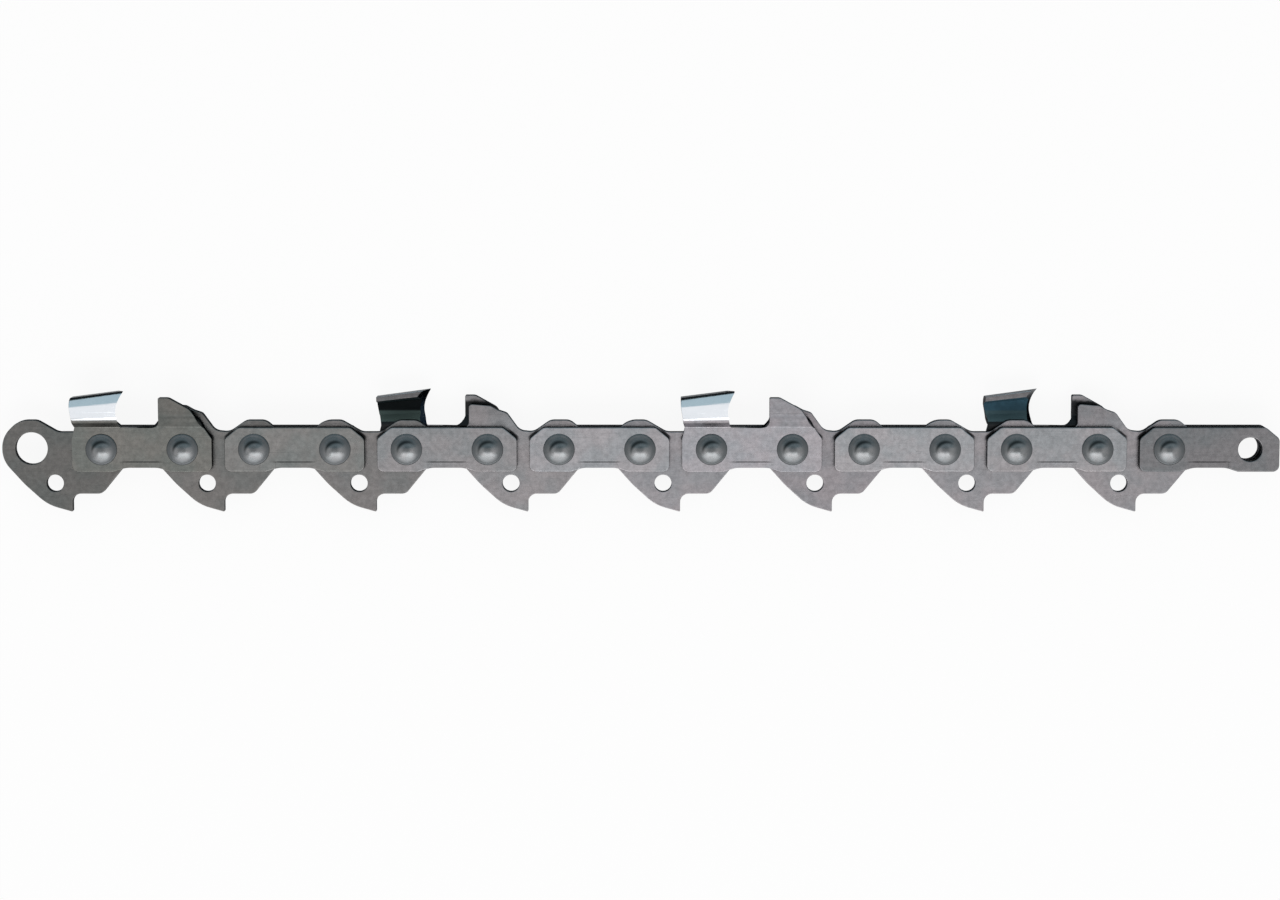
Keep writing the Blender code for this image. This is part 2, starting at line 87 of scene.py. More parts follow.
BUMPER_NECK = 3.05
BORE = 3.95
TANG_HOLE = 2.10
TANG_HOLE_AHEAD = 2.82
TANG_HOLE_DEPTH = 4.30
LINK_ROLL = 0.09
SAME_POINT = 0.0005


def rounded(corners, step=math.radians(6)):
    """The outline through corners of (x, y, radius), in mm, each rounded to its radius."""
    outline = []
    for i, (x, y, radius) in enumerate(corners):
        here = Vector((x, y))
        back = Vector(corners[i - 1][:2]) - here
        ahead = Vector(corners[(i + 1) % len(corners)][:2]) - here
        half = back.angle(ahead) / 2
        room = 0.49 * min(back.length, ahead.length)
        radius = min(radius, room * math.tan(half))
        if radius <= 0:
            outline.append(here)
            continue
        back.normalize()
        ahead.normalize()
        centre = here + (back + ahead).normalized() * radius / math.sin(half)
        first = here + back * radius / math.tan(half) - centre
        turn = math.copysign(math.pi - 2 * half, back.cross(ahead) * -1)
        steps = max(2, math.ceil(abs(turn) / step))
        outline += [centre + Matrix.Rotation(turn * s / steps, 2) @ first for s in range(steps + 1)]
    return outline


def hole(x, y, diameter, sides=48):
    """A round hole's outline, run the other way round from a blank's."""
    angles = [-2 * math.pi * i / sides for i in range(sides)]
    return [(x + diameter / 2 * math.cos(a), y + diameter / 2 * math.sin(a)) for a in angles]


def blanked(name, outline, holes, thickness, roll):
    """Sheet punched to an outline, its edges rolled over a little by the die. In mm."""
    curve = bpy.data.curves.new(name, "CURVE")
    curve.dimensions = "2D"
    curve.fill_mode = "BOTH"
    curve.extrude = thickness / 2 - roll
    curve.bevel_depth = roll
    curve.bevel_resolution = 2
    curve.offset = -roll
    for ring in [outline, *holes]:
        spline = curve.splines.new("POLY")
        spline.use_cyclic_u = True
        spline.points.add(len(ring) - 1)
        for point, place in zip(spline.points, ring):
            point.co = (place[0], place[1], 0, 1)
    punched = bpy.data.objects.new(name, curve)
    mesh = bpy.data.meshes.new_from_object(punched)
    bpy.data.objects.remove(punched)
    bpy.data.curves.remove(curve)
    bm = bmesh.new()
    bm.from_mesh(mesh)
    bmesh.ops.remove_doubles(bm, verts=bm.verts, dist=SAME_POINT)
    bmesh.ops.recalc_face_normals(bm, faces=bm.faces)
    bm.to_mesh(mesh)
    bm.free()
    return mesh


def lay(name, mesh, place, body, node, shade):
    """Sets a piece in its place on its body, standing for its plain solid."""
    piece = bpy.data.objects.new(name, mesh)
    bpy.context.scene.collection.objects.link(piece)
    piece.location = place
    piece.color = (*shade, 1)
    even = piece.modifiers.new("flat faces stay flat", "WEIGHTED_NORMAL")
    even.keep_sharp = True
    even.weight = 100
    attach(piece, body)
    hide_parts(node)
    return piece


def rivet_point(number):
    """The middle of a rivet, from its plain solid."""
    low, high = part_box(f"rivet_{number}")
    return (low + high) / 2


def smooth(mesh, angle=35):
    """Level faces made whole, then from mm to metres and shaded smooth up to an angle."""
    bm = bmesh.new()
    bm.from_mesh(mesh)
    bmesh.ops.dissolve_degenerate(bm, edges=bm.edges, dist=SAME_POINT)
    level = math.radians(0.3)
    parts = {"verts": bm.verts, "edges": bm.edges}
    bmesh.ops.dissolve_limit(bm, angle_limit=level, delimit={"MATERIAL"}, **parts)
    bm.to_mesh(mesh)
    bm.free()
    mesh.transform(Matrix.Scale(MM, 4))
    mesh.shade_smooth()
    mesh.set_sharp_from_angle(angle=math.radians(angle))
    return mesh


def plug(tree, socket, value):
    """Links a socket to another node, or sets it to a value."""
    if isinstance(value, bpy.types.NodeSocket):
        tree.links.new(value, socket)
    else:
        socket.default_value = value


def add(tree, kind, **sockets):
    """A shader node with the values or links of its sockets."""
    made = tree.nodes.new(kind)
    for name, value in sockets.items():
        plug(tree, made.inputs[name.replace("_", " ")], value)
    return made


def blend_colours(tree, share, first, second, how="MIX"):
    """Two colours mixed by a share."""
    mixed = tree.nodes.new("ShaderNodeMix")
    mixed.data_type = "RGBA"
    mixed.blend_type = how
    # a mixing node numbers its share 0 and its two colours 6 and 7
    for number, value in ((0, share), (6, first), (7, second)):
        plug(tree, mixed.inputs[number], value)
    return mixed.outputs[2]


def spread(tree, value, low, high, to_low=0.0, to_high=1.0, soft=True):
    """A value's range from low to high, eased onto another range."""
    ends = {"From_Min": low, "From_Max": high, "To_Min": to_low, "To_Max": to_high}
    ranged = add(tree, "ShaderNodeMapRange", Value=value, **ends)
    ranged.interpolation_type = "SMOOTHSTEP" if soft else "LINEAR"
    return ranged.outputs["Result"]


def reckon(tree, how, first, second=0.0):
    """A sum, product or other working of two values."""
    worked = tree.nodes.new("ShaderNodeMath")
    worked.operation = how
    for socket, value in zip(worked.inputs, (first, second)):
        plug(tree, socket, value)
    return worked.outputs[0]


def scaled(tree, vector, factor):
    """A place or a colour times a number."""
    times = tree.nodes.new("ShaderNodeVectorMath")
    times.operation = "SCALE"
    plug(tree, times.inputs[0], vector)
    plug(tree, times.inputs["Scale"], factor)
    return times.outputs[0]


def on_piece(tree):
    """Places on the piece in mm, the same shifted by an amount of its own so that no two
    pieces are marked alike, and how far the surface faces up and towards the teeth."""
    told = tree.nodes.new("ShaderNodeTexCoord")
    place = add(tree, "ShaderNodeMapping", Vector=told.outputs["Object"], Scale=(1000, 1000, 1000))
    own = tree.nodes.new("ShaderNodeObjectInfo")
    shift = scaled(tree, (310, 470, 190), own.outputs["Random"])
    shifted = add(tree, "ShaderNodeMapping", Vector=place.outputs[0], Location=shift)
    facing = add(tree, "ShaderNodeSeparateXYZ", Vector=told.outputs["Normal"])
    return place.outputs[0], shifted.outputs[0], facing.outputs["Z"], facing.outputs["Y"]


def scratches(tree, place, turn, fineness):
    """Fine straight scratches, all at one angle."""
    stretch = {"Rotation": (0, 0, turn), "Scale": (0.12, fineness, 1)}
    drawn_out = add(tree, "ShaderNodeMapping", Vector=place, **stretch).outputs["Vector"]
    lines = add(tree, "ShaderNodeTexNoise", Vector=drawn_out, Scale=1.0, Detail=3.0)
    return spread(tree, lines.outputs["Fac"], 0.60, 0.72)


def tumbled_steel(name, face, stain, edge, roughness):
    """Hardened sheet steel after tumbling: each piece has its own shade of grey, which also holds
    painted light falling along the chain, stained here and there, with fine scratches and pits on
    the faces, painted shade towards the teeth, and dark scale on the blanked edges, deepened as
    painted shade on the edges that face the teeth."""
    material = bpy.data.materials.new(name)
    material.use_nodes = True
    tree = material.node_tree
    shader = tree.nodes["Principled BSDF"]
    at_place, place, facing, outward = on_piece(tree)
    at = add(tree, "ShaderNodeSeparateXYZ", Vector=at_place)
    own = tree.nodes.new("ShaderNodeObjectInfo")
    clouds = add(tree, "ShaderNodeTexNoise", Vector=place, Scale=0.22, Detail=4.0)
    drift = spread(tree, clouds.outputs["Fac"], 0.36, 0.66)
    colour = blend_colours(tree, drift, (*face, 1), (*stain, 1))
    # the piece's own shade, which also carries painted light: darker at the ends of the chain,
    # brighter in the middle
    colour = blend_colours(tree, 1.0, colour, own.outputs["Color"], "MULTIPLY")
    mottle = add(tree, "ShaderNodeTexNoise", Vector=place, Scale=1.7, Detail=7.0, Roughness=0.66)
    shade = spread(tree, mottle.outputs["Fac"], 0.30, 0.70, 0.86, 1.14)
    along = scratches(tree, place, math.radians(3), 16.0)
    across = scratches(tree, place, math.radians(64), 11.0)
    aslant = scratches(tree, place, math.radians(-38), 13.0)
    scored = reckon(tree, "MAXIMUM", along, reckon(tree, "MAXIMUM", across, aslant))
    shade = reckon(tree, "MULTIPLY", shade, spread(tree, scored, 0, 1, 1.0, 0.85))
    # painted shade: every piece drawn darker towards the teeth
    painted_shade_towards_teeth = spread(tree, at.outputs["Y"], 2.8, 4.6, 1.0, 0.82)
    shade = reckon(tree, "MULTIPLY", shade, painted_shade_towards_teeth)
    dots = tree.nodes.new("ShaderNodeTexVoronoi")
    dots.inputs["Scale"].default_value = 1.3
    tree.links.new(place, dots.inputs["Vector"])
    pits = spread(tree, dots.outputs["Distance"], 0.05, 0.11, 1.0, 0.0)
    shade = reckon(tree, "MULTIPLY", shade, spread(tree, pits, 0, 1, 1.0, 0.84))
    shaded = scaled(tree, colour, shade)
    level = reckon(tree, "ABSOLUTE", facing)
    on_edge = spread(tree, level, 0.10, 0.75, 1.0, 0.0)
    # edges facing the teeth keep the dark scale colour, deepened there as painted shade; edges
    # facing away are paler, partly polished by the bar and partly painted light
    rubbed_and_painted_light = spread(tree, outward, 0.10, 0.60, 0.66, 0.0)
    rim = blend_colours(tree, rubbed_and_painted_light, (*edge, 1), shaded)
    tree.links.new(blend_colours(tree, on_edge, shaded, rim), shader.inputs["Base Color"])
    grain = add(tree, "ShaderNodeTexNoise", Vector=place, Scale=13.0, Detail=4.0, Roughness=0.6)
    rough = spread(tree, grain.outputs["Fac"], 0.3, 0.7, roughness - 0.05, roughness + 0.07)
    rough = reckon(tree, "ADD", rough, reckon(tree, "MULTIPLY", on_edge, 0.12))
    tree.links.new(rough, shader.inputs["Roughness"])
    relief = reckon(tree, "SUBTRACT", grain.outputs["Fac"], reckon(tree, "MULTIPLY", scored, 0.5))
    relief = reckon(tree, "SUBTRACT", relief, reckon(tree, "MULTIPLY", pits, 0.8))
    bump = add(tree, "ShaderNodeBump", Height=relief, Strength=0.35, Distance=0.012 * MM)
    tree.links.new(bump.outputs["Normal"], shader.inputs["Normal"])
    shader.inputs["Metallic"].default_value = 1.0
    # the dark tint at grazing angles on the edges is painted shade as well
    glance = blend_colours(tree, on_edge, (0.85, 0.86, 0.87, 1), (0.12, 0.13, 0.14, 1))
    tree.links.new(glance, shader.inputs["Specular Tint"])
    return material


link_steel = tumbled_steel(
    "drive link steel", (1.04, 1.0, 1.0), (0.90, 0.93, 0.94), (0.050, 0.050, 0.052), 0.27
)
# each link's shade from the rear of the length to its front: darker at the rear, partly the link's
# own tone and partly painted light falling along the chain
LINK_SHADES_WITH_PAINTED_LIGHT = (
    (0.135, 0.135, 0.130),
    (0.168, 0.165, 0.160),
    (0.195, 0.190, 0.188),
    (0.275, 0.266, 0.272),
    (0.300, 0.288, 0.300),
    (0.280, 0.267, 0.280),
    (0.298, 0.285, 0.296),
    (0.280, 0.270, 0.280),
)

# the ends of the side plates, which lie over the drive links' ends
PLATE_END = 3.60
PLATE_TOP = 2.70
SHOULDER_RUN = 1.70
SHOULDER_DROP = 1.40
# black for lubricant on the inner faces, and for painted shade and painted shadow between the parts
BLACK_OIL_AND_SHADE = (0.010, 0.011, 0.012, 1)


def painted_shoulder_shadow(steel):
    """A copy of the steel with painted shadow, black, beside the side plates' sloping shoulders."""
    material = steel.copy()
    material.name = "oily " + steel.name
    tree = material.node_tree
    shader = tree.nodes["Principled BSDF"]
    clean = shader.inputs["Base Color"].links[0].from_socket
    at_place, shifted, _, _ = on_piece(tree)
    at = add(tree, "ShaderNodeSeparateXYZ", Vector=at_place)
    from_middle = reckon(tree, "SUBTRACT", at.outputs["X"], DRIVE_SPAN / 2)
    from_middle = reckon(tree, "ABSOLUTE", from_middle)
    across_shoulder = Vector((-SHOULDER_DROP, SHOULDER_RUN)).normalized()
    shoulder_foot = Vector((DRIVE_SPAN / 2 - PLATE_END, PLATE_TOP - SHOULDER_DROP))
    along = reckon(tree, "MULTIPLY", from_middle, across_shoulder.x)
    up = reckon(tree, "MULTIPLY", at.outputs["Y"], across_shoulder.y)
    painted_shade_smear = add(tree, "ShaderNodeTexNoise", Vector=shifted, Scale=2.2, Detail=3.0)
    beyond = reckon(tree, "ADD", up, along)
    beyond = reckon(tree, "SUBTRACT", beyond, across_shoulder.dot(shoulder_foot))
    beyond = reckon(tree, "ADD", beyond, reckon(tree, "MULTIPLY", painted_shade_smear.outputs["Fac"], 0.16))
    # painted shadow: the link drawn black along each shoulder of the side plates
    close = spread(tree, beyond, 0.24, 0.42, 0.92, 0.0)
    low_end = spread(tree, from_middle, 0.45, 0.85)
    high_end = spread(tree, from_middle, 1.50, 2.10, 1.0, 0.0)
    shoulder_shade = reckon(tree, "MULTIPLY", close, reckon(tree, "MULTIPLY", low_end, high_end))
    above_foot = spread(tree, at.outputs["Y"], 0.9, 1.2)
    shoulder_shade = reckon(tree, "MULTIPLY", shoulder_shade, above_foot)
    tree.links.new(blend_colours(tree, shoulder_shade, clean, BLACK_OIL_AND_SHADE), shader.inputs["Base Color"])
    return material


# the drive links carry this painted shadow where side plates lie over them
shoulder_shaded_link_steel = painted_shoulder_shadow(link_steel)
front = DRIVE_SPAN
tang_and_front_ear = [
    (-EAR, -1.45, REAR_EAR_RADIUS),
    (-0.95, -4.42, TANG_BELLY_RADIUS),
    (1.85, 0.86 - TANG_DEPTH, TANG_BACK_RADIUS),
    (TANG_TIP, -TANG_DEPTH, 0.12),
    (TANG_TIP, -TANG_HEEL, TANG_HEEL_RADIUS),
    (front - 0.18, -TANG_HEEL, TANG_HEEL_RADIUS),
    (front + EAR, -1.00, EAR_RADIUS),
    (front + EAR, 1.60, EAR_RADIUS),
    (front + CREST_AHEAD, EAR_TOP, CREST_RADIUS),
    (front - CREST_BEHIND, EAR_TOP, CREST_RADIUS),
    (front - SADDLE_FROM_FRONT, SADDLE, SADDLE_RADIUS),
]
plain_rear_ear = [
    (SADDLE_FROM_REAR, SADDLE, SADDLE_RADIUS),
    (REAR_CREST_AHEAD, EAR_TOP, CREST_RADIUS),
    (-REAR_CREST_BEHIND, EAR_TOP, REAR_EAR_RADIUS),
    (-EAR, 1.45, REAR_EAR_RADIUS),
]
bumper_rear_ear = [
    (3.90, BUMPER_TOP - 3.25, 1.40),
    (2.35, BUMPER_TOP - 1.10, 0.70),
    (1.30, BUMPER_TOP - 0.75, 0.60),
    (0.35, BUMPER_TOP - 0.22, 0.80),
    (-BUMPER_REAR, BUMPER_TOP, 0.40),
    (-BUMPER_REAR, BUMPER_NECK, 0.40),
    (-EAR, 1.25, 1.50),
]
link_holes = [
    hole(0, 0, BORE),
    hole(front, 0, BORE),
    hole(TANG_HOLE_AHEAD, -TANG_HOLE_DEPTH, TANG_HOLE, 36),
]


def drive_link(name, rear_ear):
    """A drive link with this rear ear. The rest is the same on all of them."""
    outline = rounded(tang_and_front_ear + rear_ear)
    mesh = smooth(blanked(name, outline, link_holes, DRIVE_THICK, LINK_ROLL))
    mesh.materials.append(shoulder_shaded_link_steel)
    return mesh


plain_link = drive_link("plain_link", plain_rear_ear)
bumper_link = drive_link("bumper_link", bumper_rear_ear)
for pair in range(1, 9):
    rear_bore = rivet_point(2 * pair - 1) - Vector((DRIVE_SPAN * MM, 0, 0))
    link = lay(
        f"drive_link_{pair}_steel",
        plain_link if pair % 2 else bumper_link,
        rear_bore,
        f"drive_{pair}",
        f"drive_link_{pair}",
        LINK_SHADES_WITH_PAINTED_LIGHT[pair - 1],
    )
    if pair == 1:
        # no side plates sit at this link's free end, so it gets no painted shoulder shadow
        link.material_slots[0].link = "OBJECT"
        link.material_slots[0].material = link_steel

# Tie straps: the plain side plates, blanked from slightly thicker strip and tumbled with the
# drive links. A shallow step is coined along the waist. They pair up over the drive links.
PLATE_SPAN = 9.90
PLATE_THICK = 1.15
PLATE_MIDDLE = 1.185
PLATE_HOLE = 2.95
STRAP_ROLL = 0.12
CORNER = 0.80
FOOT = 2.75
FOOT_INNER = 1.45
WAIST = 2.26
WAIST_START = 2.95
WAIST_RADIUS = 3.00
STEP_TOP = 1.50
STEP_DEPTH = 0.05
STEP_END = 2.62
ROOT_END = 2.12
ROOT_TAPER = 1.00
ROOT_DEPTH = 0.20
# the finishes of a plate, as its mesh numbers them
OUTER = 0
INNER = 1


def cut(mesh, tools):
    """The mesh with the tools cut out of it, and the tools used up."""
    blank = bpy.data.objects.new("blank", mesh)
    bpy.context.scene.collection.objects.link(blank)
    for tool in tools:
        boolean = blank.modifiers.new(tool.name, "BOOLEAN")
        boolean.operation = "DIFFERENCE"
        boolean.solver = "EXACT"
        boolean.object = tool
    seen = bpy.context.evaluated_depsgraph_get()
    result = bpy.data.meshes.new_from_object(blank.evaluated_get(seen))
    for used in [blank, *tools]:
        bpy.data.objects.remove(used)
    return result


def bar_of(name, profile, low, high, finish=OUTER):
    """A solid bar with this profile, as a tool that leaves a finish. In mm."""
    bm = bmesh.new()
    face = bm.faces.new([bm.verts.new((x, y, low)) for x, y in profile])
    raised = bmesh.ops.extrude_face_region(bm, geom=[face])["geom"]
    upper = [v for v in raised if isinstance(v, bmesh.types.BMVert)]
    bmesh.ops.translate(bm, verts=upper, vec=(0, 0, high - low))
    bmesh.ops.recalc_face_normals(bm, faces=bm.faces)
    for face in bm.faces:
        face.material_index = finish
    mesh = bpy.data.meshes.new(name)
    bm.to_mesh(mesh)
    bm.free()
    made = bpy.data.objects.new(name, mesh)
    bpy.context.scene.collection.objects.link(made)
    return made


def coined(mesh):
    """The plate with its step pressed along the waist and the sharp line at the step's root, black
    with painted shade in the groove. Its inner face, where the drive links rub, has a finish of its
    own."""
    for polygon in mesh.polygons:
        polygon.material_index = INNER if polygon.normal.z < -0.3 else OUTER
    face = PLATE_THICK / 2
    low = -FOOT - 1
    rear = STEP_END
    ahead = PLATE_SPAN - STEP_END
    step = [(rear, low), (ahead, low), (ahead, -STEP_TOP), (rear, -STEP_TOP)]
    rear = ROOT_END
    ahead = PLATE_SPAN - ROOT_END
    root = [
        (rear, -STEP_TOP - 0.04),
        (rear + ROOT_TAPER, -STEP_TOP - 0.09),
        (ahead - ROOT_TAPER, -STEP_TOP - 0.09),
        (ahead, -STEP_TOP - 0.04),
        (ahead - ROOT_TAPER, -STEP_TOP + 0.02),
        (rear + ROOT_TAPER, -STEP_TOP + 0.02),
    ]
    return cut(
        mesh,
        [
            bar_of("coin", step, face - STEP_DEPTH, face + 1),
            # the root's faces take the inner finish, whose black here is painted shade in the
            # groove
            bar_of("step root", root, face - STEP_DEPTH - ROOT_DEPTH, face + 1, INNER),
        ],
    )


plate_foot = [
    (-PLATE_END, -FOOT, CORNER),
    (FOOT_INNER, -FOOT, CORNER),
    (WAIST_START, -WAIST, WAIST_RADIUS),
    (PLATE_SPAN - WAIST_START, -WAIST, WAIST_RADIUS),
    (PLATE_SPAN - FOOT_INNER, -FOOT, CORNER),
    (PLATE_SPAN + PLATE_END, -FOOT, CORNER),
]
strap_top = [
    (PLATE_SPAN + PLATE_END, PLATE_TOP - SHOULDER_DROP, CORNER),
    (PLATE_SPAN + PLATE_END - SHOULDER_RUN, PLATE_TOP, CORNER),
    (SHOULDER_RUN - PLATE_END, PLATE_TOP, CORNER),
    (-PLATE_END, PLATE_TOP - SHOULDER_DROP, CORNER),
]
plate_holes = [hole(0, 0, PLATE_HOLE), hole(PLATE_SPAN, 0, PLATE_HOLE)]
strap_outline = rounded(plate_foot + strap_top)
right_strap = coined(blanked("tie_strap", strap_outline, plate_holes, PLATE_THICK, STRAP_ROLL))


def other_hand(mesh, name):
    """The same piece for the left side of the chain."""
    other = mesh.copy()
    other.name = name
    bm = bmesh.new()
    bm.from_mesh(mesh)
    bmesh.ops.scale(bm, vec=(1, 1, -1), verts=bm.verts)
    bmesh.ops.reverse_faces(bm, faces=bm.faces)
    bm.to_mesh(other)
    bm.free()
    return other


left_strap = smooth(other_hand(right_strap, "left_tie_strap"))
smooth(right_strap)


def plate_steel(name):
    """The tumbled steel that tie straps and cutters are both made of."""
    return tumbled_steel(name, (1.03, 1.0, 1.0), (0.88, 0.93, 0.94), (0.032, 0.034, 0.036), 0.26)


strap_steel = plate_steel("tie strap steel")


def oiled_and_shaded(name, steel, top):
    """A copy of the steel for inner faces, black with lubricant and rubbing up to a height in mm,
    and with painted shade between the plates and the links.
    """
    material = steel.copy()
    material.name = name
    tree = material.node_tree
    shader = tree.nodes["Principled BSDF"]
    clean = shader.inputs["Base Color"].links[0].from_socket
    place, shifted, _, _ = on_piece(tree)
    at = add(tree, "ShaderNodeSeparateXYZ", Vector=place)
    painted_shade_smear = add(tree, "ShaderNodeTexNoise", Vector=shifted, Scale=1.2, Detail=5.0)
    ragged = reckon(tree, "MULTIPLY", painted_shade_smear.outputs["Fac"], 0.5)
    level = reckon(tree, "ADD", at.outputs["Y"], ragged)
    # black below the height: lubricant, and painted shade between the plates and the links
    black = spread(tree, level, top, top + 0.5, 0.95, 0.0)
    tree.links.new(blend_colours(tree, black, clean, BLACK_OIL_AND_SHADE), shader.inputs["Base Color"])
    return material


inner_steel = oiled_and_shaded("oiled inner face", strap_steel, 5.75)
for mesh in (right_strap, left_strap):
    mesh.materials.append(strap_steel)
    mesh.materials.append(inner_steel)
# each pair's shade from the rear pair to the front pair: darker at both ends and brightest in the
# middle, partly the plates' own tone and partly painted light falling along the chain
PLATE_SHADES_WITH_PAINTED_LIGHT = (
    (0.180, 0.177, 0.165),
    (0.214, 0.212, 0.206),
    (0.275, 0.268, 0.274),
    (0.342, 0.333, 0.346),
    (0.372, 0.357, 0.377),
    (0.352, 0.344, 0.356),
    (0.325, 0.315, 0.325),
    (0.190, 0.188, 0.194),
)
for pair in range(1, 9):
    for side, mesh, up in (("right", right_strap, 1), ("left", left_strap, -1)):
        node = f"{side}_tie_strap_{pair}"
        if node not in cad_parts:
            continue
        place = rivet_point(2 * pair - 1) + Vector((0, 0, up * PLATE_MIDDLE * MM))
        shade = PLATE_SHADES_WITH_PAINTED_LIGHT[pair - 1]
        lay(f"{node}_steel", mesh, place, f"plates_{pair}", node, shade)

# Cutters: one piece of sheet like the straps, with its rear half folded out, up and over into a
# hooded tooth and its front half left upright as the depth gauge. The tooth is chromed outside,
# keeps its dark heat-treated skin inside, and is ground hollow at its front, the ground face
# painted dark as a painted reflection.
KERF = 5.90
TOOTH_TOP = 7.14
TIP = 2.62
HEEL = 3.75
HEEL_UPRIGHT = 1.40
HEEL_FOOT = 3.25
HEEL_FOOT_HEIGHT = 2.70
TOP_WIDTH = 3.10
TOP_THINNING = 0.45
JOG_START = 2.85
JOG_LIFT = 0.15
JOG_EASE = 0.60
JOG_SLOPE = math.radians(50)
WALL_LEAN = math.radians(4)
TOP_RELIEF = math.radians(7.5)
SIDE_RELIEF = math.radians(2.5)
CORNER_RADIUS = 0.75
GULLET = 2.70
GAUGE_TOP = 6.38
GAUGE_REAR = 7.06
GAUGE_TOP_LENGTH = 1.25
GAUGE_TOE_BACK = 2.60
GAUGE_TOE_HEIGHT = 4.95
GAUGE_OUT = 0.50
GAUGE_EASE = 0.50
GAUGE_LEAN = math.radians(28)
GRIND_TURN = math.radians(20)
GRIND_ALLOWANCE = 0.80
HOLLOW_RADIUS = 3.10
HOLLOW_HEIGHT = 4.75
HOLLOW_X = 1.98
HOLLOW_UNDERCUT = 0.02
HOLLOW_RUN = 2.10
CUTTER_ROLL = 0.07
TOOTH_TO_GAUGE = (TIP + GAUGE_REAR) / 2
CHROME_FOOT = 3.50
CHROME_FULL = 4.05
# the finishes that a cutter has besides a plate's two
GROUND = 2
SKIN = 3
SHEARED = 4


def swept(start, bends):
    """The middle line of a folded sheet, as (length, y, z, slope) every few degrees.

    A bend is (length, slope where it begins, slope where it ends), slopes from upright.
    """
    length, y, z = start, start, 0.0
    line = [(length, y, z, bends[0][1])]
    for run, begins, ends in bends:
        steps = max(1, math.ceil(abs(ends - begins) / math.radians(5)))
        for i in range(steps):
            slope = begins + (ends - begins) * (i + 0.5) / steps
            y += run / steps * math.cos(slope)
            z += run / steps * math.sin(slope)
            length += run / steps
            line.append((length, y, z, begins + (ends - begins) * (i + 1) / steps))
    return line


def tooth_line():
    """The tooth's fold: a jog out past the rivet heads, the side wall, and the top plate."""
    out_bend = (JOG_EASE, 0.0, JOG_SLOPE)
    back_bend = (JOG_EASE * (JOG_SLOPE - WALL_LEAN) / JOG_SLOPE, JOG_SLOPE, WALL_LEAN)
    corner = (CORNER_RADIUS * (math.pi / 2 + WALL_LEAN), WALL_LEAN, -math.pi / 2)
    fixed = [swept(0, [bend])[-1] for bend in (out_bend, back_bend, corner)]
    start = JOG_START - JOG_EASE / 2 + JOG_LIFT
    out = KERF / 2 - (PLATE_MIDDLE + PLATE_THICK / 2) - fixed[0][2] - fixed[1][2]
    up = TOOTH_TOP - PLATE_THICK / 2 - start - sum(f[1] for f in fixed)
    share = math.sin(JOG_SLOPE - WALL_LEAN)
    jog = (out * math.cos(WALL_LEAN) - up * math.sin(WALL_LEAN)) / share
    wall = (up * math.sin(JOG_SLOPE) - out * math.cos(JOG_SLOPE)) / share
    over = TOP_WIDTH - PLATE_THICK / 2 - CORNER_RADIUS
    return swept(
        start,
        [
            out_bend,
            (jog, JOG_SLOPE, JOG_SLOPE),
            back_bend,
            (wall, WALL_LEAN, WALL_LEAN),
            corner,
            (over, -math.pi / 2, -math.pi / 2),
        ],
    )


def gauge_line():
    """The depth gauge's fold: a short step out, then straight up."""
    bends = [(GAUGE_EASE, 0.0, GAUGE_LEAN), (GAUGE_EASE, GAUGE_LEAN, 0.0)]
    bent = swept(0, bends)[-1]
    between = (GAUGE_OUT - bent[2]) / math.sin(GAUGE_LEAN)
    start = JOG_START - GAUGE_EASE / 2
    rest = GAUGE_TOP - start - bent[1] - between * math.cos(GAUGE_LEAN)
    return swept(start, [bends[0], (between, GAUGE_LEAN, GAUGE_LEAN), bends[1], (rest, 0.0, 0.0)])


def length_at(line, height):
    """How far up the flat sheet the point lies that the fold brings to this height."""
    for low, high in zip(line, line[1:]):
        if low[1] <= height <= high[1]:
            return low[0] + (high[0] - low[0]) * (height - low[1]) / (high[1] - low[1])
    return height


def folded(line, length, depth, thinning):
    """Where the fold brings a point of the flat sheet, with its depth from the middle line."""
    if length <= line[0][0]:
        return length, depth
    upper = next((i for i in range(1, len(line)) if length <= line[i][0]), len(line) - 1)
    ends = []
    for at, y, z, slope in (line[upper - 1], line[upper]):
        thinned = depth
        if thinning and depth < 0 and upper == len(line) - 1 and at == line[-1][0]:
            thinned = depth * (PLATE_THICK / 2 - thinning) / (PLATE_THICK / 2)
        ends.append(Vector((y - thinned * math.sin(slope), z + thinned * math.cos(slope))))
    first, second = line[upper - 1][0], line[upper][0]
    place = ends[0].lerp(ends[1], (length - first) / (second - first))
    return place.x, place.y


def relieved(x, y, z):
    """The tooth drops and narrows towards its heel, so that only its front edge cuts."""
    height = min(1.0, max(0.0, (y - JOG_START) / (TOOTH_TOP - JOG_START)))
    behind = height * (TIP - x)
    return y - behind * math.tan(TOP_RELIEF), z - behind * math.tan(SIDE_RELIEF)


tooth = tooth_line()
gauge = gauge_line()
tooth_front = TIP + GRIND_ALLOWANCE
top_end = tooth[-1][0]
top_start = tooth[-2][0]
cutter_top = [
    (PLATE_SPAN + PLATE_END, PLATE_TOP - SHOULDER_DROP, CORNER),
    (PLATE_SPAN + PLATE_END - GAUGE_TOE_BACK, length_at(gauge, GAUGE_TOE_HEIGHT), 1.20),
    (GAUGE_REAR + GAUGE_TOP_LENGTH, gauge[-1][0], 1.00),
    (GAUGE_REAR, gauge[-1][0], 0.18),
    (GAUGE_REAR, GULLET, 1.20),
    (tooth_front, GULLET, 0.0),
    (tooth_front, top_start, 0.0),
    (tooth_front - (top_end - top_start) * math.tan(GRIND_TURN), top_end, 0.0),
    (-HEEL, top_end, 0.10),
    (-HEEL, length_at(tooth, TOOTH_TOP - HEEL_UPRIGHT), 0.80),
    (-HEEL_FOOT, HEEL_FOOT_HEIGHT, 0.30),
    (-PLATE_END, PLATE_TOP - SHOULDER_DROP, CORNER),
]
cutter_outline = rounded(plate_foot + cutter_top)
